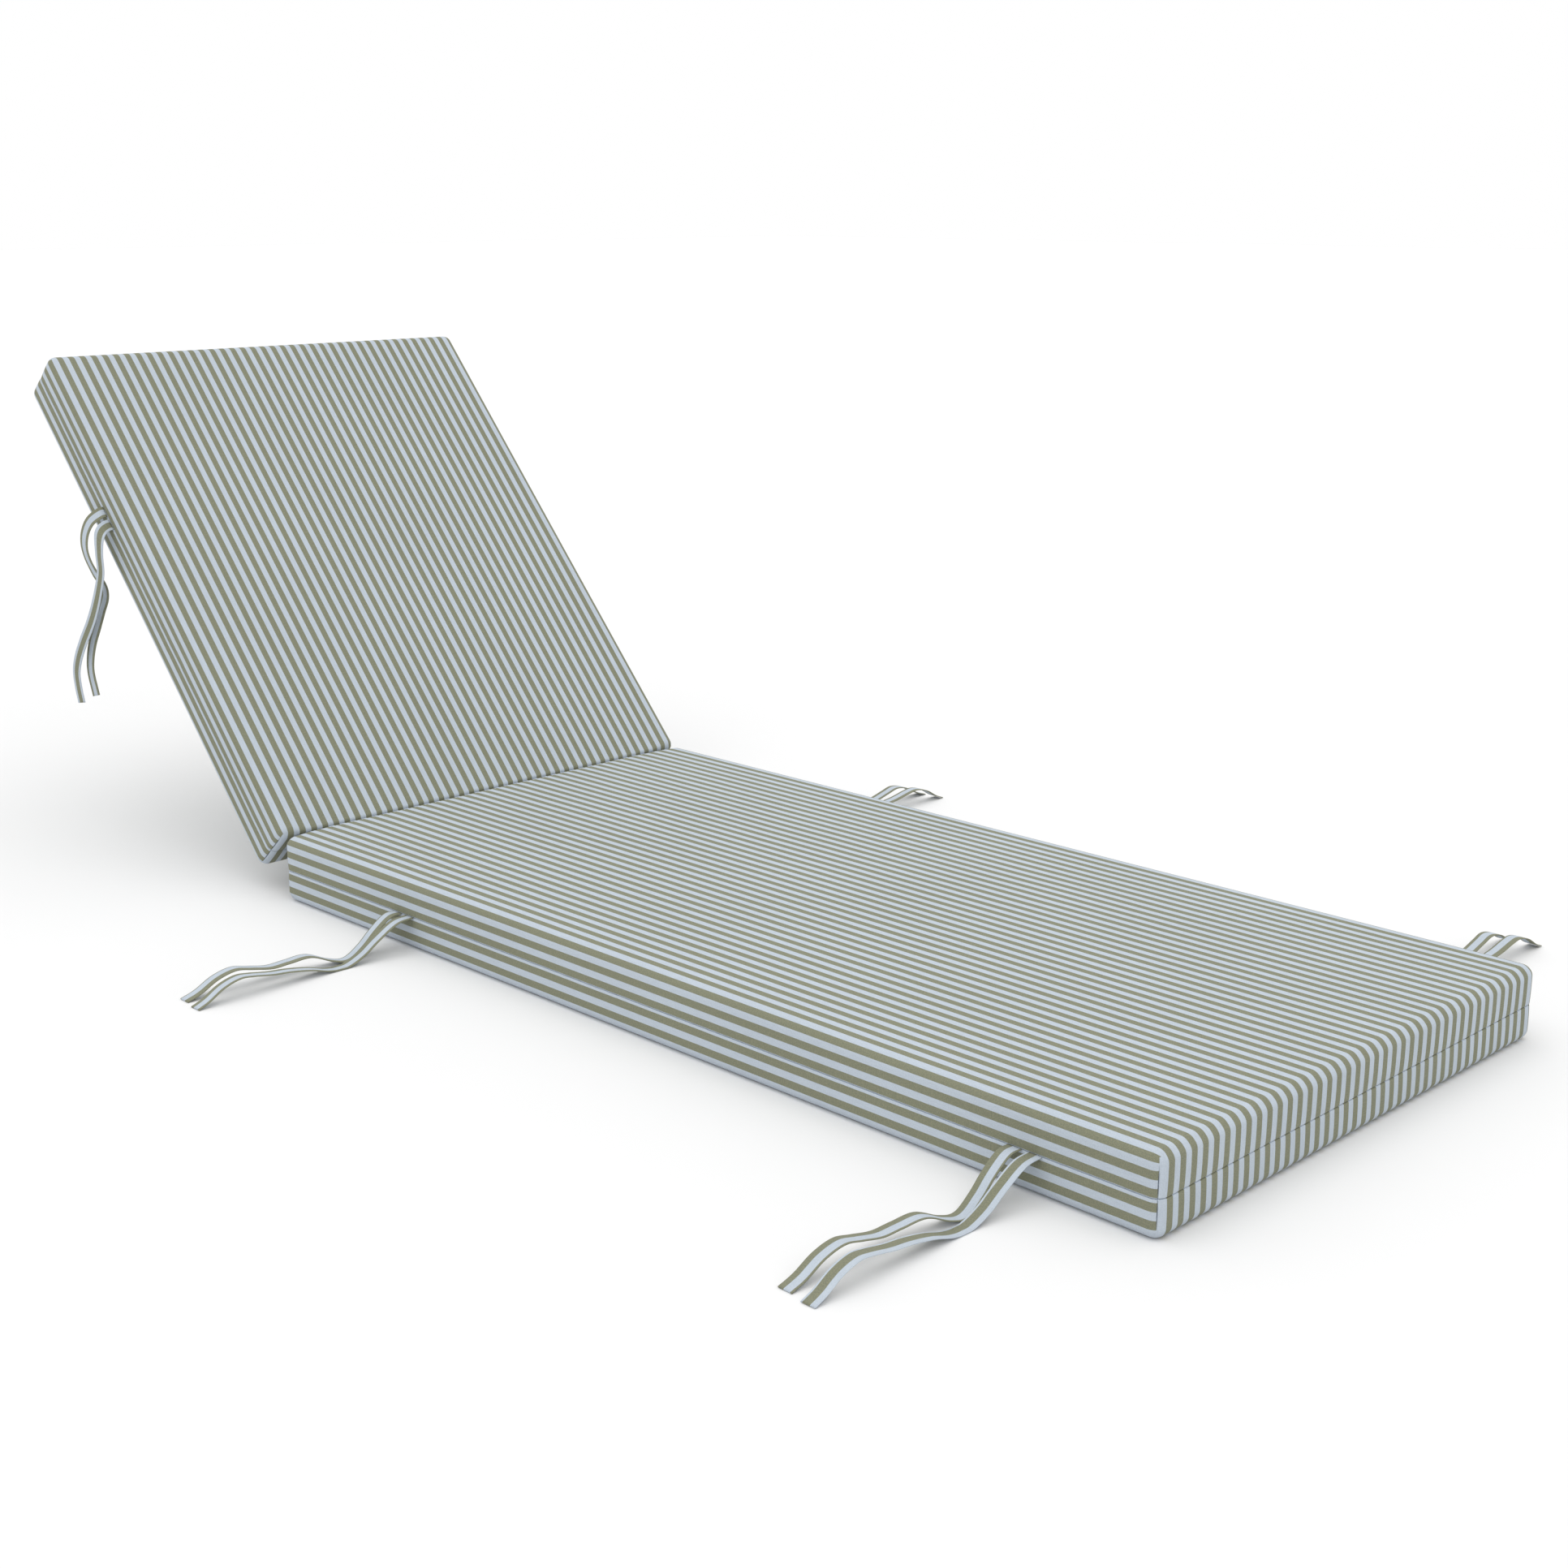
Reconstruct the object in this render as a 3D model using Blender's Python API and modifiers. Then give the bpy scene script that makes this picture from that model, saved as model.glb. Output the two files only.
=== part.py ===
"""Sun lounger cushion: a long seat pad and a shorter back pad, joined by a sewn fold.

The pads are filled covers with a seam round their sides. The back pad is raised.
Six pairs of sewn ties leave the side seams. Metres, +Z up, foot end towards -Y,
origin in the middle of the seat pad's flat underside.
"""

import math

import bmesh
import bpy
from mathutils import Matrix, Vector

# Driving dimensions of the two pads
WIDTH = 0.610
SEAT_LENGTH = 1.220
BACK_LENGTH = 0.701
THICKNESS = 0.0762
BACK_ANGLE = math.radians(48.0)
SEAM_HEIGHT = 0.0366

# Soft shape of a pad
EDGE_RADIUS = 0.011
FOLD_RADIUS = 0.0045
CROWN = 0.003
SIDE_BULGE = 0.0014
SEAM_DRAW = 0.0014
SEAM_BAND = 0.004
WAIST = 0.0008

# Where the fold's tight edge gives way to the pad's ordinary round edge
FOLD_REACH = 0.045
FOLD_CORNER = 0.035

# Sewn fold strip in the crease
FOLD_THICKNESS = 0.0014
FOLD_WIDTH = 0.586
FOLD_TOP = 0.0016
FOLD_DEPTH = 0.012

# Ties: width, thickness, and how far the root stands off the seam
TIE_WIDTH = 0.0152
TIE_THICKNESS = 0.0012
TIE_ROOT = WIDTH / 2 - 0.0004
TIE_STEPS = 30
FLOOR_CLEARANCE = 0.0004

# Ties on the seat pad: name of the pair, distance of its middle from the fold
SEAT_TIE_PAIRS = (("rear", 0.231), ("front", 1.087))
SEAT_TIE_SPREAD = 0.0105
BACK_TIE_PLACE = 0.480
BACK_TIE_SPREAD = 0.0095

# A lying tie: reach from the side, height of its middle, drift towards the head
LYING_A = (
    (0.000, 0.0366, 0.0000),
    (0.014, 0.0355, 0.0001),
    (0.032, 0.0240, 0.0008),
    (0.050, 0.0095, 0.0014),
    (0.070, 0.0021, 0.0020),
    (0.090, 0.0050, 0.0030),
    (0.114, 0.0140, 0.0045),
    (0.138, 0.0128, 0.0056),
    (0.158, 0.0125, 0.0064),
    (0.180, 0.0170, 0.0072),
    (0.199, 0.0205, 0.0080),
    (0.220, 0.0160, 0.0086),
    (0.240, 0.0070, 0.0090),
    (0.256, 0.0022, 0.0092),
)
LYING_B = (
    (0.000, 0.0366, 0.0000),
    (0.020, 0.0345, 0.0000),
    (0.044, 0.0215, 0.0003),
    (0.063, 0.0090, 0.0008),
    (0.084, 0.0022, 0.0014),
    (0.104, 0.0030, 0.0018),
    (0.126, 0.0085, 0.0022),
    (0.150, 0.0130, 0.0026),
    (0.172, 0.0155, 0.0028),
    (0.194, 0.0195, 0.0030),
    (0.210, 0.0210, 0.0030),
    (0.229, 0.0160, 0.0028),
    (0.247, 0.0070, 0.0026),
    (0.260, 0.0022, 0.0024),
)

# A hanging tie: stand-off from the side, move towards the head, height above the root
HANGING_A = (
    (0.000, 0.000, 0.0000),
    (0.006, 0.001, -0.0010),
    (0.016, 0.008, -0.0100),
    (0.022, 0.012, -0.0240),
    (0.024, 0.013, -0.0400),
    (0.022, 0.011, -0.0560),
    (0.017, 0.005, -0.0740),
    (0.013, -0.006, -0.0890),
    (0.012, -0.006, -0.1020),
    (0.013, 0.004, -0.1200),
    (0.014, 0.016, -0.1410),
    (0.015, 0.029, -0.1630),
    (0.015, 0.038, -0.1840),
    (0.015, 0.040, -0.2040),
    (0.014, 0.033, -0.2320),
)
HANGING_B = (
    (0.000, 0.000, 0.0000),
    (0.006, 0.000, -0.0010),
    (0.014, -0.001, -0.0060),
    (0.019, -0.003, -0.0160),
    (0.022, -0.006, -0.0340),
    (0.023, -0.008, -0.0550),
    (0.024, 0.000, -0.0790),
    (0.024, 0.014, -0.1040),
    (0.024, 0.029, -0.1250),
    (0.025, 0.046, -0.1470),
    (0.026, 0.061, -0.1700),
    (0.026, 0.069, -0.1900),
    (0.026, 0.067, -0.2100),
    (0.025, 0.064, -0.2280),
)

# Colours: pale blue and white cloth with olive stripes, seen from a step away
PAD_COLOUR = (0.42, 0.45, 0.43, 1.0)
FOLD_COLOUR = (0.20, 0.21, 0.19, 1.0)
TIE_COLOUR = (0.46, 0.50, 0.50, 1.0)
CLOTH_ROUGHNESS = 0.85

FOLD_Y = SEAT_LENGTH / 2
HINGE = Vector((0.0, FOLD_Y, THICKNESS))
BACK_TURN = Matrix.Rotation(BACK_ANGLE, 3, "X")


def clear_scene():
    for old in list(bpy.data.objects):
        bpy.data.objects.remove(old, do_unlink=True)
    collection = bpy.data.collections.new("sun_lounger_cushion")
    bpy.context.scene.collection.children.link(collection)
    return collection


def cloth_material(name, colour):
    material = bpy.data.materials.new(name)
    material.use_nodes = True
    shader = material.node_tree.nodes["Principled BSDF"]
    shader.inputs["Base Color"].default_value = colour
    shader.inputs["Roughness"].default_value = CLOTH_ROUGHNESS
    shader.inputs["Metallic"].default_value = 0.0
    return material


def add_object(collection, name, mesh, material):
    mesh.materials.append(material)
    mesh.shade_smooth()
    piece = bpy.data.objects.new(name, mesh)
    collection.objects.link(piece)
    return piece


def smooth(low, high, value):
    part = min(1.0, max(0.0, (value - low) / (high - low)))
    return part * part * (3.0 - 2.0 * part)


def edge_stations(radius):
    """Distances from an edge that give a round of the given radius even steps."""
    return (radius * (1.0 - math.tan(math.pi / 8.0)), radius)


def pad_stations(length):
    """Where the pad's block is cut across, along and up before it is shaped."""
    near = edge_stations(EDGE_RADIUS)
    tight = edge_stations(FOLD_RADIUS)
    across = [WIDTH / 2 - d for d in (*near, 0.030, 0.070, 0.130, 0.210)]
    across = [-x for x in across] + [0.0] + across
    ends = [*tight, *near, 0.026, 0.050, 0.100]
    foot = [length - d for d in (*near, 0.030, 0.080)]
    middle = [length * part for part in (0.24, 0.37, 0.50, 0.63, 0.76)]
    seam = SEAM_HEIGHT - THICKNESS
    low = [near[0] - THICKNESS, near[1] - THICKNESS]
    high = [-d for d in (*tight, *near, 0.022)]
    band = [seam + step for step in (-0.011, -SEAM_BAND, 0.0, SEAM_BAND)]
    return across, ends + middle + foot, low + high + band


def near_fold(x, run, z):
    """1 on the tight edge beside the fold, 0 on the pad's ordinary edges."""
    along = 1.0 - smooth(0.3 * FOLD_REACH, FOLD_REACH, run)
    upper = smooth(-0.60 * THICKNESS, -0.30 * THICKNESS, z)
    inner = smooth(0.0, FOLD_CORNER, WIDTH / 2 - abs(x) - EDGE_RADIUS / 2)
    return along * upper * inner


def pad_point(x, run, z, length):
    """Moves a point of the pad's block on to the filled pad.

    x is across, run is the distance from the fold, z is 0 on the face.
    """
    half = Vector((WIDTH / 2, length / 2, THICKNESS / 2))
    point = Vector((x, run - half.y, z + half.z))
    radius = EDGE_RADIUS + (FOLD_RADIUS - EDGE_RADIUS) * near_fold(x, run, z)
    core = Vector([min(max(point[i], radius - half[i]), half[i] - radius) for i in range(3)])
    away = point - core
    outward = away.normalized() if away.length > 0.0 else Vector((0.0, 0.0, 0.0))
    shaped = core + outward * radius

    # The side swells between its edges and the seam, and the seam draws it in
    seam = SEAM_HEIGHT - half.z
    share = (point.z - seam) / ((half.z - seam) if point.z > seam else (half.z + seam))
    swell = SIDE_BULGE * (1.0 - (2.0 * abs(share) - 1.0) ** 2)
    draw = SEAM_DRAW * math.exp(-abs(point.z - seam) / SEAM_BAND)
    side = Vector((outward.x, outward.y, 0.0))
    shaped += side * (swell - draw) * (1.0 - near_fold(x, run, z))

    # The long sides pull in a little between the corners
    along = point.y / half.y
    shaped.x -= math.copysign(WAIST, outward.x) * abs(outward.x) * (1.0 - along * along)

    # The upper face crowns, and the underside stays flat
    if point.z > half.z - 1e-6:
        shaped.z += CROWN * (1.0 - (point.x / half.x) ** 4) * (1.0 - along ** 4)
    return Vector((shaped.x, shaped.y + half.y, shaped.z - half.z))


def build_pad(collection, name, length, direction, turn, material):
    """A pad runs from the fold along +Y or -Y, and is then turned about the fold."""
    shape = bmesh.new()
    place = Matrix.Translation((0.0, direction * length / 2, -THICKNESS / 2))
    size = Matrix.Diagonal((WIDTH, length, THICKNESS, 1.0))
    bmesh.ops.create_cube(shape, size=1.0, matrix=place @ size)
    across, along, up = pad_stations(length)
    cuts = [((x, 0, 0), (1, 0, 0)) for x in across]
    cuts += [((0, direction * y, 0), (0, 1, 0)) for y in along]
    cuts += [((0, 0, z), (0, 0, 1)) for z in up]
    for spot, normal in cuts:
        everything = shape.verts[:] + shape.edges[:] + shape.faces[:]
        bmesh.ops.bisect_plane(shape, geom=everything, dist=1e-7, plane_co=spot, plane_no=normal)
    for corner in shape.verts:
        x, y, z = corner.co
        moved = pad_point(x, direction * y, z, length)
        corner.co = Vector((moved.x, direction * moved.y, moved.z))
    mesh = bpy.data.meshes.new(name)
    shape.to_mesh(mesh)
    shape.free()
    pad = add_object(collection, name, mesh, material)
    pad.location = HINGE
    pad.rotation_euler = (turn, 0.0, 0.0)
    return pad


def smooth_path(rows, steps):
    """Evenly spaced points on a smooth curve through the rows of a table."""
    knots = [Vector(row) for row in rows]
    knots = [2 * knots[0] - knots[1]] + knots + [2 * knots[-1] - knots[-2]]
    fine = []
    for k in range(1, len(knots) - 2):
        a, b, c, d = knots[k - 1:k + 3]
        for part in range(16):
            t = part / 16
            fine.append(0.5 * (2 * b + (c - a) * t + (2 * a - 5 * b + 4 * c - d) * t * t
                               + (3 * b - a - 3 * c + d) * t ** 3))
    fine.append(knots[-2])
    travelled = [0.0]
    for first, second in zip(fine, fine[1:]):
        travelled.append(travelled[-1] + (second - first).length)
    points = []
    k = 0
    for step in range(steps + 1):
        goal = travelled[-1] * step / steps
        while k < len(fine) - 2 and travelled[k + 1] < goal:
            k += 1
        part = (goal - travelled[k]) / (travelled[k + 1] - travelled[k])
        points.append(fine[k].lerp(fine[k + 1], min(part, 1.0)))
    return points


def ribbon(collection, name, path, widths, width, thickness, material):
    """A strip of cloth: a grid laid along a path, each row across its own direction."""
    rows = len(path) - 1
    shape = bmesh.new()
    bmesh.ops.create_grid(shape, x_segments=1, y_segments=rows, size=0.5)
    for corner in shape.verts:
        row = round((corner.co.y + 0.5) * rows)
        before = path[max(row - 1, 0)]
        after = path[min(row + 1, rows)]
        tangent = (after - before).normalized()
        across = widths[row] - tangent * widths[row].dot(tangent)
        corner.co = path[row] + across.normalized() * width * corner.co.x
    mesh = bpy.data.meshes.new(name)
    shape.to_mesh(mesh)
    shape.free()
    strip = add_object(collection, name, mesh, material)
    solid = strip.modifiers.new("cloth thickness", "SOLIDIFY")
    solid.thickness = thickness
    solid.offset = 0.0
    return strip


def build_seat_ties(collection, side, side_name, material):
    for pair, distance in SEAT_TIE_PAIRS:
        for letter, rows, offset in (("a", LYING_A, SEAT_TIE_SPREAD), ("b", LYING_B, -SEAT_TIE_SPREAD)):
            y = FOLD_Y - distance + offset
            points = [(side * (TIE_ROOT + reach), y + drift, height) for reach, height, drift in rows]
            path = smooth_path(points, TIE_STEPS)
            lowest = TIE_THICKNESS / 2 + FLOOR_CLEARANCE
            for point in path:
                point.z = max(point.z, lowest)
            widths = [Vector((0.0, 1.0, 0.0)) for point in path]
            name = f"tie_{pair}_{side_name}_{letter}"
            ribbon(collection, name, path, widths, TIE_WIDTH, TIE_THICKNESS, material)


def build_back_ties(collection, side, side_name, material):
    seam = SEAM_HEIGHT - THICKNESS
    along_seam = BACK_TURN @ Vector((0.0, 1.0, 0.0))
    hanging = Vector((-side * 0.35, -0.94, 0.0))
    for letter, rows, offset in (("a", HANGING_A, BACK_TIE_SPREAD), ("b", HANGING_B, -BACK_TIE_SPREAD)):
        root = HINGE + BACK_TURN @ Vector((side * TIE_ROOT, BACK_TIE_PLACE + offset, seam))
        points = [root + Vector((side * out, ahead, rise)) for out, ahead, rise in rows]
        path = smooth_path(points, TIE_STEPS)
        widths = []
        for step in range(TIE_STEPS + 1):
            turned = smooth(0.0, 0.45, step / TIE_STEPS)
            widths.append((-along_seam).lerp(hanging, turned).normalized())
        name = f"tie_back_{side_name}_{letter}"
        ribbon(collection, name, path, widths, TIE_WIDTH, TIE_THICKNESS, material)


def build_fold(collection, material):
    """The sewn strip hangs from the crease, half way between the two pads."""
    lean = BACK_ANGLE / 2
    down = Vector((0.0, math.sin(lean), -math.cos(lean)))
    path = [HINGE + down * (FOLD_TOP + FOLD_DEPTH * step / 4) for step in range(5)]
    widths = [Vector((1.0, 0.0, 0.0)) for point in path]
    return ribbon(collection, "fold_strip", path, widths, FOLD_WIDTH, FOLD_THICKNESS, material)


def main():
    collection = clear_scene()
    pad_cloth = cloth_material("striped pad cloth", PAD_COLOUR)
    fold_cloth = cloth_material("fold cloth", FOLD_COLOUR)
    tie_cloth = cloth_material("striped tie cloth", TIE_COLOUR)
    build_pad(collection, "seat_pad", SEAT_LENGTH, -1, 0.0, pad_cloth)
    build_pad(collection, "back_pad", BACK_LENGTH, 1, BACK_ANGLE, pad_cloth)
    build_fold(collection, fold_cloth)
    for side, side_name in ((-1, "left"), (1, "right")):
        build_seat_ties(collection, side, side_name, tie_cloth)
        build_back_ties(collection, side, side_name, tie_cloth)
    bpy.context.view_layer.update()


main()
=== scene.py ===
"""The looks of a striped sun lounger cushion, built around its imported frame.

Metres, +Z up, foot end towards -Y, origin in the middle of the seat pad's underside.
"""

import math

import bpy
import numpy as np
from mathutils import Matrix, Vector, noise


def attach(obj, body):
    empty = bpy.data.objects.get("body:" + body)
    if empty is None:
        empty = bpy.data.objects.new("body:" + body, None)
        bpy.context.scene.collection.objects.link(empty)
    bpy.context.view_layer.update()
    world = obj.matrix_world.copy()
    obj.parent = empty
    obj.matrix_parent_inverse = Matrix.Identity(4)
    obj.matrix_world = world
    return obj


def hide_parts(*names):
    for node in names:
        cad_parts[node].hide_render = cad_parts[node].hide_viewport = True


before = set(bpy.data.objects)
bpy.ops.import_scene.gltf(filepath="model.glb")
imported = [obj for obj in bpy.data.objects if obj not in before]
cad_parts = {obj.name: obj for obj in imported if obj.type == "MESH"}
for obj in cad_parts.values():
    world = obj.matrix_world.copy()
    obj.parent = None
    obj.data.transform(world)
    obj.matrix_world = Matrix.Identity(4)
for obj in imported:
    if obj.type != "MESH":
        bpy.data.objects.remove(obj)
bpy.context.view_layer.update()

# Sizes of the two pads, as in the frame
WIDTH = 0.610
SEAT_LENGTH = 1.220
BACK_LENGTH = 0.701
THICKNESS = 0.0762
BACK_ANGLE = math.radians(48.0)
SEAM_HEIGHT = 0.0366
HINGE = np.array((0.0, SEAT_LENGTH / 2, THICKNESS))

# Rounded edges, and a tighter round beside the fold that fades out along it and to its ends
EDGE_RADIUS = 0.011
FLAT_HALF = WIDTH / 2 - EDGE_RADIUS
QUARTER_ROUND = EDGE_RADIUS * math.pi / 2
FOLD_RADIUS = 0.0045
FOLD_HOLD = 0.0135
FOLD_REACH = 0.045
FOLD_LOW = 0.40 * THICKNESS
FOLD_HIGH = 0.70 * THICKNESS
FOLD_CORNER = 0.035

# Filling: a slight crown with slow waves, and sides that swell but draw in at mid-length
CROWN = 0.0006
CROWN_RISE = 0.055 / 3
EDGE_DROP = 0.0004
WAVE = 0.00025
WAVE_SCALE = 7.0
WAVE_SEED = 5
SIDE_BULGE = 0.0004
WAIST = 0.0008

# How far a noise moves on from one seed to the next
NOISE_STEP = (7.3, 3.1, 1.7)

# The seam round the sides: a narrow groove in a drawn-in, puckered band
SEAM_DRAW = 0.0003
SEAM_BAND = 0.004
GROOVE_DEPTH = 0.0020
GROOVE_HALF = 0.0008
GROOVE_POWER = 1.5
GROOVE_CUTS = (-1.5, -1.0, -0.5, -0.25, 0.0, 0.25, 0.5, 1.0, 1.5)
PUCKER = 0.00035
PUCKER_SCALE = 70.0
PUCKER_BAND = 0.012
PUCKER_STRETCH = 0.4

# Upright seams where the side panels end, which gape in a slit above and below the seam
CORNER_TURN = math.radians(42.0)
CORNER_SEAM = EDGE_RADIUS * (1.0 - math.tan(CORNER_TURN))
CORNER_GROOVE = 0.0034
CORNER_HALF = 0.0010
CORNER_CUTS = (-1.0, -0.5, 0.0, 0.5, 1.0)
SLIT_MOUTH = 1.01 * CORNER_HALF
SLIT_HEIGHTS = (0.049, 0.024)
SLIT_SPAN = 0.008
SLIT_LEAST = 0.25
SLIT_FADE = (0.006, 0.018)

# How fine the pad meshes are
EDGE_STEPS = 6
CELL = 0.011
SIDE_CELL = 0.0035
CUT_DIGITS = 7
TOLERANCE = 1e-6
SEAM_NUDGE = 2e-6

# Woven stripes, across the cloth
STRIPE_PITCH = 0.01513
WHITE_SHARE = 0.487
STRIPE_WANDER = 0.0003
STRIPE_SOFTNESS = 0.018
THREAD_PITCH = 0.00062

# Where a white stripe starts on each part of a cover, from the pad's middle line
SEAT_PHASES = {"upper": 0.0004, "lower": 0.0006, "side_lower": -0.0066}
BACK_PHASES = {"upper": -0.0002, "lower": 0.0, "side_lower": -0.0065}

# How the cloth eases round the edges, as shares of their true length
TOP_EASE = 1.09
LOW_EASE = 0.90
CORNER_EASE = 0.85

# Yarn colours
WHITE_YARN = (0.50, 0.56, 0.625, 1.0)
WHITE_SHADE = (0.465, 0.522, 0.59, 1.0)
OLIVE_YARN = (0.191, 0.203, 0.144, 1.0)
OLIVE_FLECK = (0.238, 0.237, 0.159, 1.0)
OLIVE_SLUB = (0.27, 0.275, 0.19, 1.0)

# Fineness of the cloth's noises, across and along the stripes
WANDER_FINENESS = (900.0, 160.0, 1.0)
SLUB_FINENESS = (85.0, 1500.0, 1.0)
FIBRE_FINENESS = (1300.0, 60.0, 1.0)
MOTTLE_FINENESS = (800.0, 800.0, 1.0)
CLOUD_FINENESS = (7.0, 5.0, 1.0)

# What each noise value becomes: from low and high to 0 and 1, or to the last two numbers
SLUB_RANGE = (0.52, 0.76)
FLECK_RANGE = (0.38, 0.62)
FIBRE_RANGE = (0.35, 0.70)
SPECKLE_RANGE = (0.25, 0.75, 0.90, 1.08)
CLOUD_RANGE = (0.3, 0.7, 0.975, 1.02)
# The weave's gaps: painted shade between the threads, down to 0.86 of the colour
GAP_SHADE_RANGE = (0.0, 0.35, 0.86, 1.0)
ROUGH_RANGE = (0.3, 0.7, 0.84, 0.96)

# Relief and finish of the cloth
THREAD_RELIEF = 0.5
MOTTLE_RELIEF = 1.6
SLUB_RELIEF = 0.8
BUMP_STRENGTH = 0.45
BUMP_DISTANCE = 0.0003
CLOTH_ROUGHNESS = 0.9
SHEEN = 0.08
SHEEN_ROUGHNESS = 0.45
SPECULAR = 0.2

# Ties
TIE_WIDTH = 0.0152
TIE_THICKNESS = 0.0011
TIE_ROOT = WIDTH / 2 - 0.0004
TIE_ROWS = 120
TIE_HALF_SECTION = (0.0, 0.3, 0.6, 0.82, 0.93, 0.975, 0.993, 1.0)
FLOOR_CLEARANCE = 0.0004
SEAT_TIE_PAIRS = (("rear", 0.231), ("front", 1.087))
SEAT_TIE_SPREAD = 0.0105
BACK_TIE_PLACE = 0.480
BACK_TIE_SPREAD = 0.0095
HANGING_TURN = 0.45
HANGING_ASIDE = 0.10
HANGING_BACK = 0.995

# Where each tie was cut from the striped cloth: its middle, from a white stripe's edge
TIE_STRIPES = {
    "tie_rear_left_a": 0.0013,
    "tie_rear_left_b": 0.0048,
    "tie_front_left_a": 0.0058,
    "tie_front_left_b": 0.0095,
    "tie_rear_right_a": 0.0045,
    "tie_rear_right_b": 0.0030,
    "tie_front_right_a": 0.0037,
    "tie_front_right_b": 0.0018,
    "tie_back_left_a": 0.0034,
    "tie_back_left_b": 0.0107,
    "tie_back_right_a": 0.0034,
    "tie_back_right_b": 0.0107,
}

# A lying tie: reach from the side, height of its middle, drift towards the head
LYING_A = (
    (0.000, 0.0366, 0.0000),
    (0.014, 0.0355, 0.0001),
    (0.032, 0.0240, -0.0002),
    (0.050, 0.0100, -0.0014),
    (0.070, 0.0012, -0.0034),
    (0.090, 0.0055, -0.0036),
    (0.114, 0.0150, 0.0008),
    (0.138, 0.0136, 0.0044),
    (0.158, 0.0125, 0.0064),
    (0.180, 0.0170, 0.0072),
    (0.199, 0.0205, 0.0080),
    (0.220, 0.0160, 0.0086),
    (0.240, 0.0060, 0.0090),
    (0.256, 0.0009, 0.0092),
)
LYING_B = (
    (0.000, 0.0366, 0.0000),
    (0.020, 0.0345, 0.0000),
    (0.044, 0.0215, 0.0003),
    (0.063, 0.0090, 0.0008),
    (0.084, 0.0010, 0.0014),
    (0.104, 0.0022, 0.0018),
    (0.126, 0.0085, 0.0022),
    (0.150, 0.0130, 0.0026),
    (0.172, 0.0155, 0.0028),
    (0.194, 0.0195, 0.0030),
    (0.210, 0.0210, 0.0030),
    (0.229, 0.0160, 0.0028),
    (0.247, 0.0060, 0.0026),
    (0.260, 0.0009, 0.0024),
)

# A hanging tie: stand-off from the side, move towards the head, height above the root
HANGING_A = (
    (0.000, 0.000, 0.0000),
    (0.006, 0.001, -0.0010),
    (0.016, 0.008, -0.0100),
    (0.022, 0.012, -0.0240),
    (0.024, 0.013, -0.0400),
    (0.022, 0.011, -0.0560),
    (0.017, 0.005, -0.0740),
    (0.013, -0.006, -0.0890),
    (0.012, -0.006, -0.1020),
    (0.013, 0.004, -0.1200),
    (0.014, 0.016, -0.1410),
    (0.015, 0.029, -0.1630),
    (0.015, 0.038, -0.1840),
    (0.015, 0.040, -0.2040),
    (0.014, 0.033, -0.2320),
)
HANGING_B = (
    (0.000, 0.000, 0.0000),
    (0.006, 0.000, -0.0010),
    (0.014, -0.001, -0.0060),
    (0.019, -0.003, -0.0160),
    (0.022, -0.006, -0.0340),
    (0.023, -0.008, -0.0550),
    (0.024, 0.000, -0.0790),
    (0.024, 0.014, -0.1040),
    (0.024, 0.029, -0.1250),
    (0.025, 0.046, -0.1470),
    (0.026, 0.061, -0.1700),
    (0.026, 0.069, -0.1900),
    (0.026, 0.067, -0.2100),
    (0.025, 0.064, -0.2280),
)

# The strip in the crease, whose ends sink between the pads
FOLD_WIDTH = 0.586
FOLD_THICKNESS = 0.0014
FOLD_TOP = 0.0016
FOLD_DEPTH = 0.012
FOLD_ROWS = 9
FOLD_COLUMNS = 61
FOLD_END = 0.055
FOLD_END_DROP = 0.006

# Strips in general: how flat their section is, steps between path rows, start on the cloth
SECTION_POWER = 40
PATH_STEPS = 16
STRIP_START = 0.37

# Studio
FLOOR_HALF = 30.0
FLOOR_COLOUR = (0.78, 0.78, 0.78, 1.0)
FLOOR_ROUGHNESS = 0.9
WORLD_COLOUR = (1.0, 1.0, 1.0, 1.0)
WORLD_STRENGTH = 1.0
SUN_STRENGTH = 1.0
SUN_SPREAD = math.radians(70.0)
SUN_TURN = (math.radians(3.0), math.radians(-13.0), 0.0)

# Camera, solved from the photo's outline
CAMERA_PLACE = (-1.6017, -1.4958, 0.7853)
CAMERA_YAW = math.radians(45.05)
CAMERA_PITCH = math.radians(-15.05)
CAMERA_LENS = 50.23
CAMERA_SENSOR = 36.0


def make_camera():
    data = bpy.data.cameras.new("camera")
    data.sensor_width = CAMERA_SENSOR
    data.lens = CAMERA_LENS
    camera = bpy.data.objects.new("camera", data)
    camera.location = CAMERA_PLACE
    camera.rotation_euler = (math.pi / 2 + CAMERA_PITCH, 0.0, -CAMERA_YAW)
    bpy.context.scene.collection.objects.link(camera)
    bpy.context.scene.camera = camera


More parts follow.
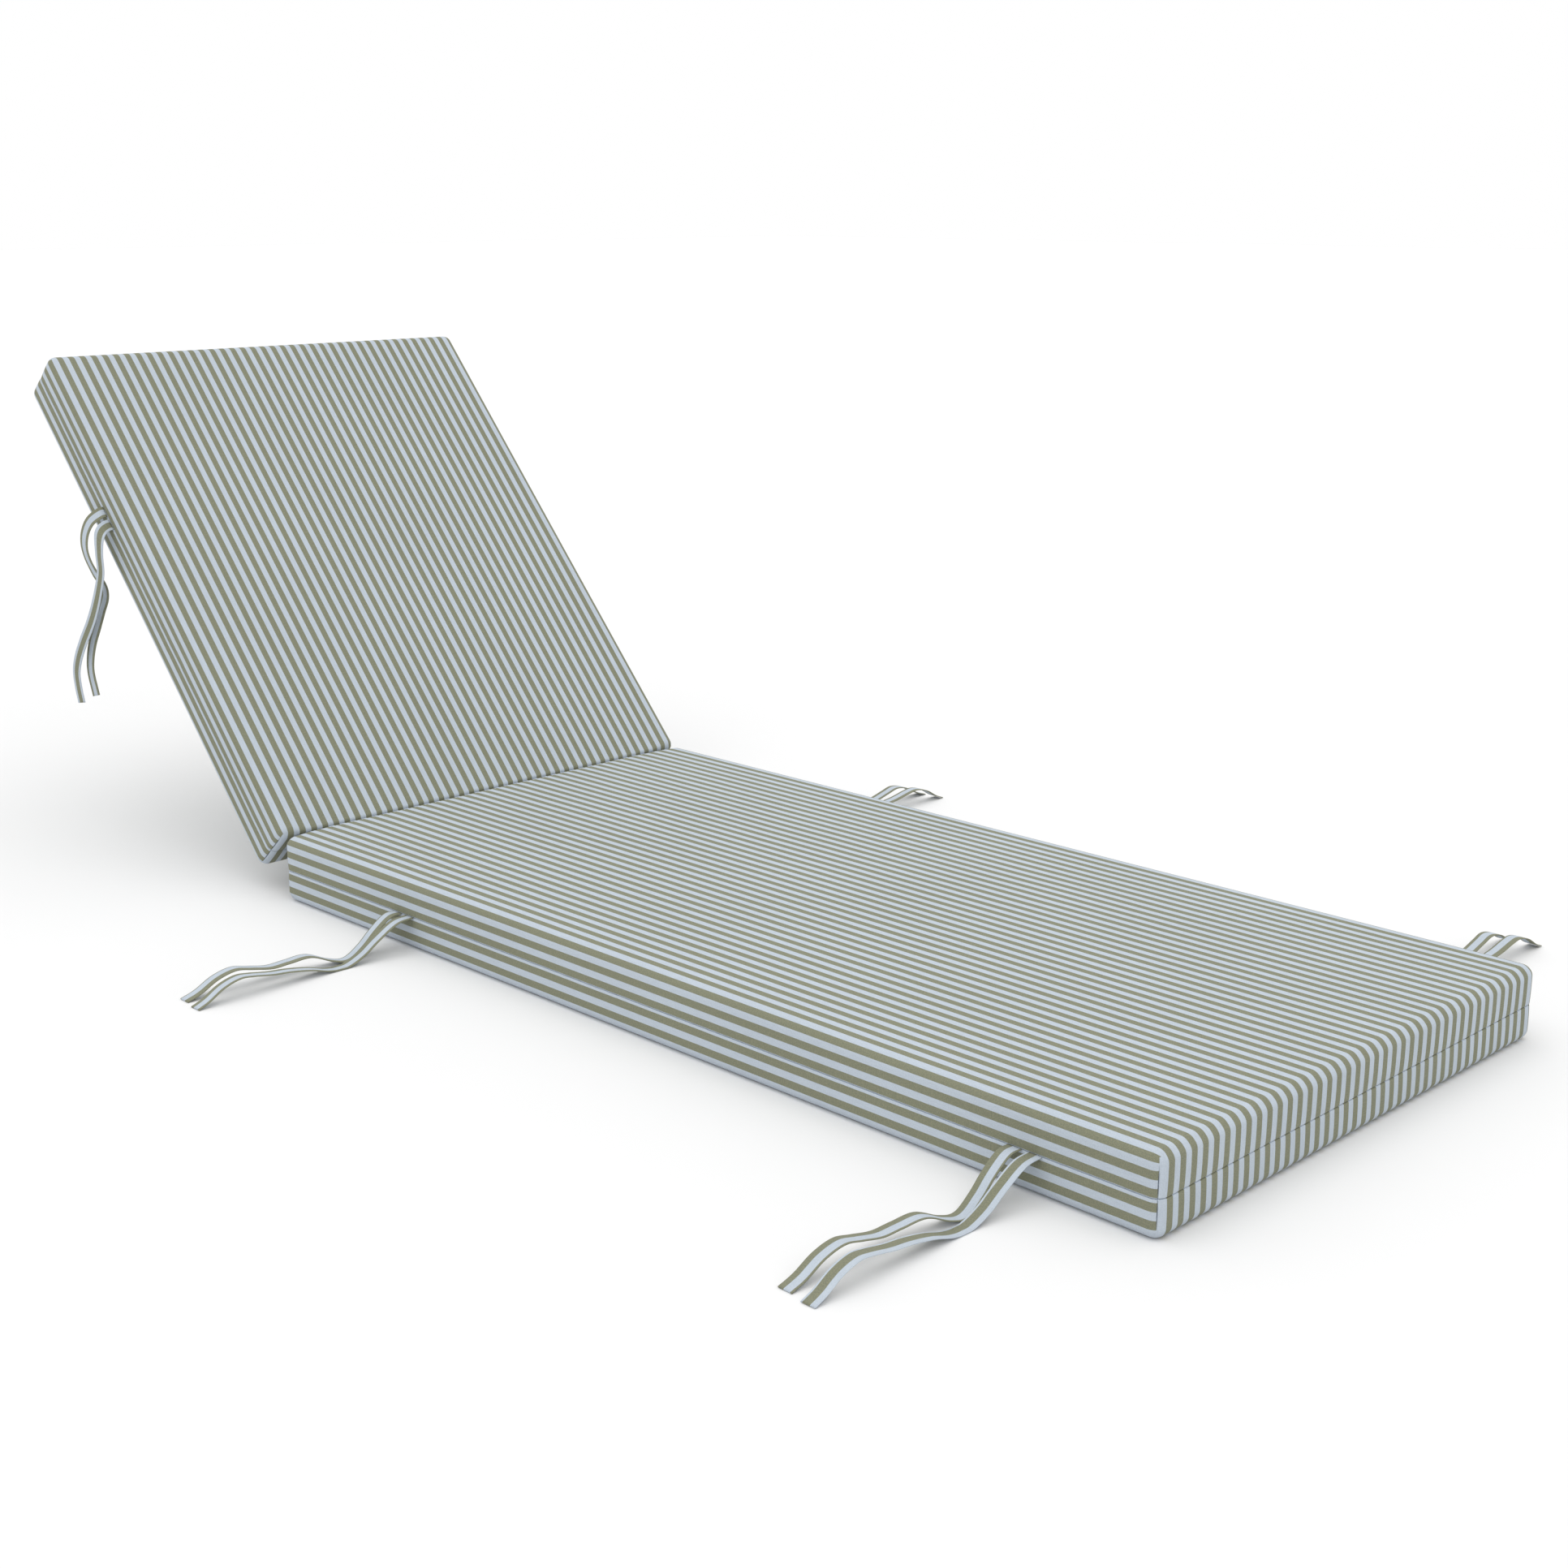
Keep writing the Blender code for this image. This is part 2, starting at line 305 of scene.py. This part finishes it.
class Nodes:
    """Short calls for building a material's node tree."""

    def __init__(self, name, roughness):
        self.material = bpy.data.materials.new(name)
        self.material.use_nodes = True
        self.tree = self.material.node_tree
        self.shader = self.tree.nodes["Principled BSDF"]
        self.shade("Roughness", roughness)

    def feed(self, socket, value):
        """Links a socket to another node's output, or gives it a plain value."""
        if isinstance(value, bpy.types.NodeSocket):
            self.tree.links.new(value, socket)
        else:
            socket.default_value = value

    def shade(self, name, value):
        """Sets one input of the material's shader."""
        self.feed(self.shader.inputs[name], value)

    def add(self, kind, inputs=(), **settings):
        node = self.tree.nodes.new(kind)
        for key, value in settings.items():
            setattr(node, key, value)
        for socket, value in dict(inputs).items():
            self.feed(node.inputs[socket], value)
        return node

    def math(self, operation, a, b=0.0, c=0.0):
        return self.add("ShaderNodeMath", {0: a, 1: b, 2: c}, operation=operation).outputs[0]

    def range(self, value, low, high, to_low=0.0, to_high=1.0, kind="SMOOTHSTEP"):
        inputs = {"Value": value, "From Min": low, "From Max": high, "To Min": to_low, "To Max": to_high}
        return self.add("ShaderNodeMapRange", inputs, interpolation_type=kind).outputs[0]

    def noise(self, uv, fineness, detail=3.0, roughness=0.5):
        stretch = self.add("ShaderNodeVectorMath", {0: uv, 1: fineness}, operation="MULTIPLY")
        inputs = {"Vector": stretch.outputs[0], "Scale": 1.0, "Detail": detail, "Roughness": roughness}
        return self.add("ShaderNodeTexNoise", inputs).outputs[0]

    def mix(self, share, a, b, blend="MIX"):
        # A colour mix has its share in socket 0, its colours in 6 and 7 and its result in 2
        inputs = {0: share, 6: a, 7: b}
        return self.add("ShaderNodeMix", inputs, data_type="RGBA", blend_type=blend).outputs[2]


def olive_share(nodes, uv, across):
    """0 on a white stripe, 1 on an olive one, with edges that wander a little as yarns do."""
    wander = nodes.noise(uv, WANDER_FINENESS)
    shifted = nodes.math("MULTIPLY_ADD", nodes.math("SUBTRACT", wander, 0.5), STRIPE_WANDER, across)
    cycle = nodes.math("FRACT", nodes.math("DIVIDE", shifted, STRIPE_PITCH))
    edge = WHITE_SHARE / 2
    from_middle = nodes.math("ABSOLUTE", nodes.math("SUBTRACT", cycle, edge))
    nearest = nodes.math("MINIMUM", from_middle, nodes.math("SUBTRACT", 1.0, from_middle))
    return nodes.range(nearest, edge - STRIPE_SOFTNESS, edge + STRIPE_SOFTNESS)


def striped_cloth(name):
    """Plain-woven cloth. Its UV map is in metres: across the stripes, then along them."""
    nodes = Nodes(name, CLOTH_ROUGHNESS)
    uv = nodes.add("ShaderNodeUVMap", uv_map="cloth").outputs[0]
    parts = nodes.add("ShaderNodeSeparateXYZ", {0: uv})
    across, along = parts.outputs[0], parts.outputs[1]

    # Yarns: slubs run across the olive stripes, fibres along the white ones
    slub = nodes.range(nodes.noise(uv, SLUB_FINENESS, roughness=0.6), *SLUB_RANGE)
    fibre = nodes.range(nodes.noise(uv, FIBRE_FINENESS, roughness=0.6), *FIBRE_RANGE)
    mottle = nodes.noise(uv, MOTTLE_FINENESS, roughness=0.7)
    flecked = nodes.mix(nodes.range(mottle, *FLECK_RANGE), OLIVE_YARN, OLIVE_FLECK)
    olive = nodes.mix(slub, flecked, OLIVE_SLUB)
    white = nodes.mix(fibre, WHITE_YARN, WHITE_SHADE)
    colour = nodes.mix(olive_share(nodes, uv, across), white, olive)

    # Plain weave: each crossing lifts one thread or the other, with painted shade in the gaps between
    turn = math.pi / THREAD_PITCH
    warp = nodes.math("SINE", nodes.math("MULTIPLY", across, turn))
    weft = nodes.math("SINE", nodes.math("MULTIPLY", along, turn))
    crossing = nodes.math("MULTIPLY", warp, weft)
    gap_shade = nodes.range(nodes.math("ABSOLUTE", crossing), *GAP_SHADE_RANGE, kind="LINEAR")
    speckle = nodes.range(mottle, *SPECKLE_RANGE, kind="LINEAR")
    cloud = nodes.range(nodes.noise(uv, CLOUD_FINENESS, detail=2.0), *CLOUD_RANGE, kind="LINEAR")
    # Random speckle and clouds in the yarn's tone, times the painted shade in the weave's gaps
    tone_and_gap_shade = nodes.math("MULTIPLY", nodes.math("MULTIPLY", speckle, cloud), gap_shade)
    nodes.shade("Base Color", nodes.mix(1.0, colour, tone_and_gap_shade, "MULTIPLY"))

    mottled = nodes.math("MULTIPLY", mottle, MOTTLE_RELIEF)
    threads = nodes.math("MULTIPLY_ADD", crossing, THREAD_RELIEF, mottled)
    height = nodes.math("ADD", threads, nodes.math("MULTIPLY", slub, SLUB_RELIEF))
    relief = {"Height": height, "Strength": BUMP_STRENGTH, "Distance": BUMP_DISTANCE}
    nodes.shade("Normal", nodes.add("ShaderNodeBump", relief).outputs[0])
    nodes.shade("Roughness", nodes.range(mottle, *ROUGH_RANGE, kind="LINEAR"))
    nodes.shade("Sheen Weight", SHEEN)
    nodes.shade("Sheen Roughness", SHEEN_ROUGHNESS)
    nodes.shade("Specular IOR Level", SPECULAR)
    return nodes.material


def smooth(low, high, value):
    """0 up to low, 1 from high on, with a soft rise between them."""
    part = np.clip((value - low) / (high - low), 0.0, 1.0)
    return part * part * (3.0 - 2.0 * part)


def unit(rows):
    return rows / np.linalg.norm(rows, axis=1, keepdims=True)


def rough_noise(points, scale, seed):
    """Smooth random values between about -1 and 1, one for each point."""
    shift = Vector([seed * step for step in NOISE_STEP])
    return np.array([noise.noise(Vector(p) * scale + shift) for p in points])


def even_steps(low, high, cell):
    count = max(1, round((high - low) / cell))
    return list(np.linspace(low, high, count + 1))


def edge_fan(radius):
    """Distances from an edge that give its round even steps, from the edge inwards."""
    return [radius * (1.0 - math.tan(math.pi / 4 * k / EDGE_STEPS)) for k in range(EDGE_STEPS, -1, -1)]


def pad_stations(length):
    """Where the pad's block is cut: across, along from the fold, and up from the underside."""
    fan = edge_fan(EDGE_RADIUS)
    tight = edge_fan(FOLD_RADIUS)
    half = WIDTH / 2
    inner = even_steps(-FLAT_HALF, FLAT_HALF, CELL)
    across = [-half + d for d in fan[:-1]] + inner + [half - d for d in fan[-2::-1]]
    seam = [CORNER_SEAM + CORNER_HALF * k for k in CORNER_CUTS]
    start = sorted({round(d, CUT_DIGITS) for d in fan + tight + seam})
    middle = even_steps(EDGE_RADIUS, length - EDGE_RADIUS, CELL)
    finish = sorted({round(length - d, CUT_DIGITS) for d in fan + seam})
    along = start + middle[1:-1] + finish
    groove = [SEAM_HEIGHT + GROOVE_HALF * k for k in GROOVE_CUTS]
    low = even_steps(EDGE_RADIUS, groove[0], SIDE_CELL)
    high = even_steps(groove[-1], THICKNESS - EDGE_RADIUS, SIDE_CELL)
    top = sorted({round(THICKNESS - d, CUT_DIGITS) for d in fan + tight})
    up = fan[:-1] + low[:-1] + groove + high[1:-1] + top
    return np.array(across), np.array(along), np.array(up)


def near_fold(x, run, z):
    """1 on the tight edge beside the fold, 0 on the pad's ordinary edges."""
    along = 1.0 - smooth(FOLD_HOLD, FOLD_REACH, run)
    upper = smooth(FOLD_LOW, FOLD_HIGH, z)
    inner = smooth(0.0, FOLD_CORNER, WIDTH / 2 - np.abs(x) - EDGE_RADIUS / 2)
    return along * upper * inner


def side_relief(shaped, above, seed):
    """How far the sides stand out at a height above the seam, with its groove and puckers."""
    away = np.abs(above)
    share = away / np.where(above > 0, THICKNESS - SEAM_HEIGHT, SEAM_HEIGHT)
    swell = SIDE_BULGE * (1.0 - (2.0 * share - 1.0) ** 2)
    draw = SEAM_DRAW * np.exp(-away / SEAM_BAND)
    groove = GROOVE_DEPTH * np.maximum(0.0, 1.0 - away / GROOVE_HALF) ** GROOVE_POWER
    path = np.stack((shaped[:, 0], shaped[:, 1], above * PUCKER_STRETCH), 1)
    pucker = PUCKER * rough_noise(path, PUCKER_SCALE, seed) * np.exp(-away / PUCKER_BAND)
    return swell - draw - groove + pucker


def top_relief(shaped, side_gap, end_gap, z, seed):
    """Crown and waves of the upper face, which starts a little low at its rounded edges."""
    fill = (1.0 - np.exp(-side_gap / CROWN_RISE)) * (1.0 - np.exp(-end_gap / CROWN_RISE))
    wave = WAVE * rough_noise(shaped, WAVE_SCALE, seed + WAVE_SEED)
    crown = np.where(z > THICKNESS - TOLERANCE, (CROWN + EDGE_DROP + wave) * fill, 0.0)
    drop = EDGE_DROP * (1.0 - smooth(0.0, EDGE_RADIUS, THICKNESS - z))
    return crown - drop


def corner_slit(side_gap, end_gap, z):
    """Depth of the upright seam in which a side panel ends beside a rounded corner."""
    beside = np.maximum(0.0, 1.0 - np.abs(end_gap - CORNER_SEAM) / SLIT_MOUTH)
    inside = smooth(*SLIT_FADE, z) * smooth(*SLIT_FADE, THICKNESS - z)
    gape = sum(np.exp(-((z - height) / SLIT_SPAN) ** 2) for height in SLIT_HEIGHTS)
    on_side = np.where(side_gap < TOLERANCE, 1.0, 0.0)
    return CORNER_GROOVE * beside * inside * (SLIT_LEAST + (1.0 - SLIT_LEAST) * gape) * on_side


def pad_surface(x, run, z, length, seed):
    """Moves points of the pad's block on to the filled pad.

    The block has its fold end at run 0 and its underside at z 0. The heights that come back
    are counted from the upper face.
    """
    half = np.array((WIDTH / 2, length / 2, THICKNESS / 2))
    point = np.stack((x, run - half[1], z - half[2]), 1)
    hold = near_fold(x, run, z)
    radius = (EDGE_RADIUS + (FOLD_RADIUS - EDGE_RADIUS) * hold)[:, None]
    core = np.clip(point, radius - half, half - radius)
    outward = unit(point - core)
    side = outward * (1.0, 1.0, 0.0)
    shaped = core + outward * radius
    shaped += side * (side_relief(shaped, z - SEAM_HEIGHT, seed) * (1.0 - hold))[:, None]
    shaped[:, 0] -= WAIST * outward[:, 0] * (1.0 - (point[:, 1] / half[1]) ** 2)
    side_gap = half[0] - np.abs(point[:, 0])
    end_gap = half[1] - np.abs(point[:, 1])
    shaped[:, 2] += top_relief(shaped, side_gap, end_gap, z, seed)
    shaped -= side * corner_slit(side_gap, end_gap, z)[:, None]
    return shaped + (0.0, half[1], -half[2])


def round_length(distance):
    """Cloth length from the flat's end to a point this far from the square edge."""
    return EDGE_RADIUS * math.atan2(EDGE_RADIUS - distance, EDGE_RADIUS)


def cloth_across(value, ease):
    """Cloth coordinate of a point on a wide face, whose long edges are rounds."""
    size = abs(value)
    if size <= FLAT_HALF:
        return value
    return math.copysign(FLAT_HALF + ease * round_length(WIDTH / 2 - size), value)


def cloth_down(distance, ease):
    """Cloth coordinate over a long edge and down to this distance from it."""
    if distance < EDGE_RADIUS:
        return FLAT_HALF + ease * (QUARTER_ROUND - round_length(distance))
    return FLAT_HALF + ease * QUARTER_ROUND + distance - EDGE_RADIUS


def pad_uv(kind, x, run, z, length, phases):
    """Cloth coordinates on one part of the pad's skin, across the stripes and along them."""
    upper = z > SEAM_HEIGHT
    middle = run - length / 2
    depth = THICKNESS - z
    if kind == "top":
        return cloth_across(x, TOP_EASE) - phases["upper"], middle
    if kind == "underside":
        return cloth_across(x, LOW_EASE) - phases["lower"], middle
    if kind == "side" and upper:
        return math.copysign(cloth_down(depth, TOP_EASE), x) - phases["upper"], middle
    if kind == "side":
        return math.copysign(cloth_down(z, LOW_EASE), x) - phases["side_lower"], middle
    if kind == "corner":
        turned = QUARTER_ROUND - round_length(length / 2 - abs(middle))
        around = math.copysign(FLAT_HALF + CORNER_EASE * turned, x)
    else:
        around = cloth_across(x, CORNER_EASE)
    phase = phases["upper"] if upper else phases["lower"]
    return around - phase, math.copysign(length / 2 + depth, middle)


def squares(rows, columns):
    """The corners of each square in a grid."""
    for a in range(rows):
        for b in range(columns):
            yield (a, b), (a + 1, b), (a + 1, b + 1), (a, b + 1)


def block_squares(across, along, up):
    """Each square of the block's skin: which part of it, and its corners as cut numbers."""
    nx, ny, nz = len(across) - 1, len(along) - 1, len(up) - 1
    for square in squares(nx, ny):
        yield "top", [(i, j, nz) for i, j in square]
        yield "underside", [(i, j, 0) for i, j in reversed(square)]
    for square in squares(nx, nz):
        yield "end", [(i, 0, k) for i, k in square]
        yield "end", [(i, ny, k) for i, k in reversed(square)]
    for square in squares(ny, nz):
        centre = (along[square[0][0]] + along[square[1][0]]) / 2
        kind = "corner" if min(centre, along[-1] - centre) < CORNER_SEAM else "side"
        yield kind, [(nx, j, k) for j, k in square]
        yield kind, [(0, j, k) for j, k in reversed(square)]


def add_piece(name, node, points, faces, uvs, material):
    """Makes a piece from its mesh and cloth coordinates, and lets it stand for a node."""
    mesh = bpy.data.meshes.new(name)
    mesh.from_pydata(points, [], faces)
    layer = mesh.uv_layers.new(name="cloth")
    layer.data.foreach_set("uv", np.array(uvs, np.float32).ravel())
    mesh.shade_smooth()
    mesh.materials.append(material)
    piece = bpy.data.objects.new(name, mesh)
    bpy.context.scene.collection.objects.link(piece)
    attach(piece, "root")
    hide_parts(node)
    return piece


def build_pad(name, node, length, direction, turn, phases, material, seed):
    """A filled pad that runs from the hinge towards the foot, -1, or the head, 1."""
    across, along, up = pad_stations(length)
    numbers, faces, uvs = {}, [], []
    for kind, corners in block_squares(across, along, up):
        # A corner on the seam takes the cloth of its own half
        centre_z = sum(up[k] for _, _, k in corners) / 4
        nudge = math.copysign(SEAM_NUDGE, centre_z - SEAM_HEIGHT)
        places = [(across[i], along[j], up[k] + nudge) for i, j, k in corners]
        faces.append([numbers.setdefault(corner, len(numbers)) for corner in corners][::direction])
        uvs += [pad_uv(kind, *place, length, phases) for place in places][::direction]
    block = np.array([(across[i], along[j], up[k]) for i, j, k in numbers])
    x, run, z = pad_surface(*block.T, length, seed).T
    y = run * direction
    cosine, sine = math.cos(turn), math.sin(turn)
    points = np.stack((x, y * cosine - z * sine, y * sine + z * cosine), 1) + HINGE
    pad = add_piece(name, node, points.tolist(), faces, uvs, material)


def lengths_along(points):
    """How far along a path each of its points is."""
    steps = np.linalg.norm(np.diff(points, axis=0), axis=1)
    return np.concatenate(([0.0], np.cumsum(steps)))


def smooth_path(rows, steps):
    """Evenly spaced points on a smooth curve through the rows of a table, and its length."""
    knots = [np.array(row, float) for row in rows]
    knots = [2 * knots[0] - knots[1]] + knots + [2 * knots[-1] - knots[-2]]
    fine = []
    for k in range(1, len(knots) - 2):
        a, b, c, d = knots[k - 1:k + 3]
        for t in np.arange(PATH_STEPS) / PATH_STEPS:
            fine.append(0.5 * (2 * b + (c - a) * t + (2 * a - 5 * b + 4 * c - d) * t * t
                               + (3 * b - a - 3 * c + d) * t ** 3))
    fine = np.array(fine + [knots[-2]])
    travelled = lengths_along(fine)
    goals = np.linspace(0.0, travelled[-1], steps + 1)
    points = np.stack([np.interp(goals, travelled, fine[:, i]) for i in range(3)], 1)
    return points, travelled[-1]


def end_faces(count):
    """Faces that close a strip's section of this many points, without doubled corners."""
    for c in range(count // 2):
        yield list(dict.fromkeys((c, (count - c) % count, (count - c - 1) % count, c + 1)))


def build_strip(name, node, path, widths, width, thickness, half_section, stripe_start, material):
    """A sewn strip: a flat tube of cloth with soft edges, laid along a path."""
    tangent = unit(np.gradient(path, axis=0))
    side = unit(widths - tangent * np.sum(widths * tangent, 1, keepdims=True))
    normal = np.cross(tangent, side)
    travelled = lengths_along(path)
    places = [-p for p in half_section[:0:-1]] + list(half_section)
    loop = [(p, math.sqrt(1.0 - p ** SECTION_POWER) * 0.5) for p in places[1:-1]]
    section = [(-1.0, 0.0)] + loop + [(1.0, 0.0)] + [(p, -h) for p, h in reversed(loop)]
    count = len(section)
    last = len(path) - 1
    points, faces, uvs = [], [], []
    for r in range(len(path)):
        for p, h in section:
            points.append(tuple(path[r] + side[r] * p * width / 2 + normal[r] * h * thickness))

    def add_face(corners):
        faces.append([r * count + c for r, c in corners])
        for r, c in corners:
            uvs.append((section[c][0] * width / 2 + stripe_start, travelled[r] + STRIP_START))

    for r in range(last):
        for c in range(count):
            n = (c + 1) % count
            add_face([(r, c), (r, n), (r + 1, n), (r + 1, c)])
    for corners in end_faces(count):
        add_face([(0, c) for c in corners])
        add_face([(last, c) for c in corners[:1] + corners[:0:-1]])
    return add_piece(name, node, points, faces, uvs, material)


def add_tie(name, path, widths, length, material):
    tie = build_strip("cloth_" + name, name, path, widths, TIE_WIDTH, TIE_THICKNESS,
                      TIE_HALF_SECTION, TIE_STRIPES[name], material)


def build_lying_ties(side, side_name, material):
    """The seat pad's ties on one side, which droop from its seam and lie on the floor."""
    for pair, distance in SEAT_TIE_PAIRS:
        for letter, rows, offset in (("a", LYING_A, SEAT_TIE_SPREAD), ("b", LYING_B, -SEAT_TIE_SPREAD)):
            y = HINGE[1] - distance + offset
            points = [(side * (TIE_ROOT + reach), y + drift, height) for reach, height, drift in rows]
            path, length = smooth_path(points, TIE_ROWS)
            path[:, 2] = np.maximum(path[:, 2], TIE_THICKNESS / 2 + FLOOR_CLEARANCE)
            widths = np.tile((0.0, 1.0, 0.0), (len(path), 1))
            name = f"tie_{pair}_{side_name}_{letter}"
            add_tie(name, path, widths, length, material)


def build_hanging_ties(side, side_name, material):
    """The back pad's ties on one side, which turn from the seam's direction as they hang."""
    cosine, sine = math.cos(BACK_ANGLE), math.sin(BACK_ANGLE)
    depth = SEAM_HEIGHT - THICKNESS
    along_seam = np.array((0.0, -cosine, -sine))
    hanging = np.array((-side * HANGING_ASIDE, -HANGING_BACK, 0.0))
    for letter, rows, offset in (("a", HANGING_A, BACK_TIE_SPREAD), ("b", HANGING_B, -BACK_TIE_SPREAD)):
        run = BACK_TIE_PLACE + offset
        root = HINGE + (side * TIE_ROOT, run * cosine - depth * sine, run * sine + depth * cosine)
        points = [root + (side * out, ahead, rise) for out, ahead, rise in rows]
        path, length = smooth_path(points, TIE_ROWS)
        turned = smooth(0.0, HANGING_TURN, np.linspace(0.0, 1.0, len(path)))[:, None]
        widths = unit(along_seam * (1.0 - turned) + hanging * turned)
        name = f"tie_back_{side_name}_{letter}"
        add_tie(name, path, widths, length, material)


def build_fold(material):
    """The strip that joins the two covers in the crease."""
    lean = BACK_ANGLE / 2
    down = np.array((0.0, math.sin(lean), -math.cos(lean)))
    steps = np.linspace(0.0, 1.0, FOLD_ROWS)[:, None]
    path = HINGE + down * (FOLD_TOP + FOLD_DEPTH * steps)
    widths = np.tile((1.0, 0.0, 0.0), (len(path), 1))
    strip = build_strip("cloth_fold_strip", "fold_strip", path, widths, FOLD_WIDTH,
                        FOLD_THICKNESS, np.linspace(0.0, 1.0, FOLD_COLUMNS), 0.0, material)
    for vertex in strip.data.vertices:
        inward = FOLD_WIDTH / 2 - abs(vertex.co.x)
        drop = FOLD_END_DROP * (1.0 - float(smooth(0.0, FOLD_END, inward)))
        vertex.co += Vector(down * drop)


def make_stage():
    """A pale floor, white surroundings and one soft light from above."""
    floor_nodes = Nodes("floor", FLOOR_ROUGHNESS)
    floor_nodes.shade("Base Color", FLOOR_COLOUR)
    corners = [(-1, -1), (1, -1), (1, 1), (-1, 1)]
    mesh = bpy.data.meshes.new("floor")
    mesh.from_pydata([(x * FLOOR_HALF, y * FLOOR_HALF, 0.0) for x, y in corners], [], [(0, 1, 2, 3)])
    mesh.materials.append(floor_nodes.material)
    floor = bpy.data.objects.new("floor", mesh)
    bpy.context.scene.collection.objects.link(floor)
    world = bpy.data.worlds.new("studio")
    world.use_nodes = True
    background = world.node_tree.nodes["Background"]
    background.inputs["Color"].default_value = WORLD_COLOUR
    background.inputs["Strength"].default_value = WORLD_STRENGTH
    bpy.context.scene.world = world
    data = bpy.data.lights.new("overhead", "SUN")
    data.energy = SUN_STRENGTH
    data.angle = SUN_SPREAD
    overhead = bpy.data.objects.new("overhead", data)
    overhead.rotation_euler = SUN_TURN
    bpy.context.scene.collection.objects.link(overhead)
    bpy.context.scene.view_settings.view_transform = "Standard"


make_camera()
make_stage()
pad_cloth = striped_cloth("pad cloth")
tie_cloth = striped_cloth("tie cloth")
build_pad("cloth_seat_pad", "seat_pad", SEAT_LENGTH, -1, 0.0, SEAT_PHASES, pad_cloth, seed=1)
build_pad("cloth_back_pad", "back_pad", BACK_LENGTH, 1, BACK_ANGLE, BACK_PHASES, pad_cloth, seed=2)
build_fold(pad_cloth)
for side, side_name in ((-1, "left"), (1, "right")):
    build_lying_ties(side, side_name, tie_cloth)
    build_hanging_ties(side, side_name, tie_cloth)
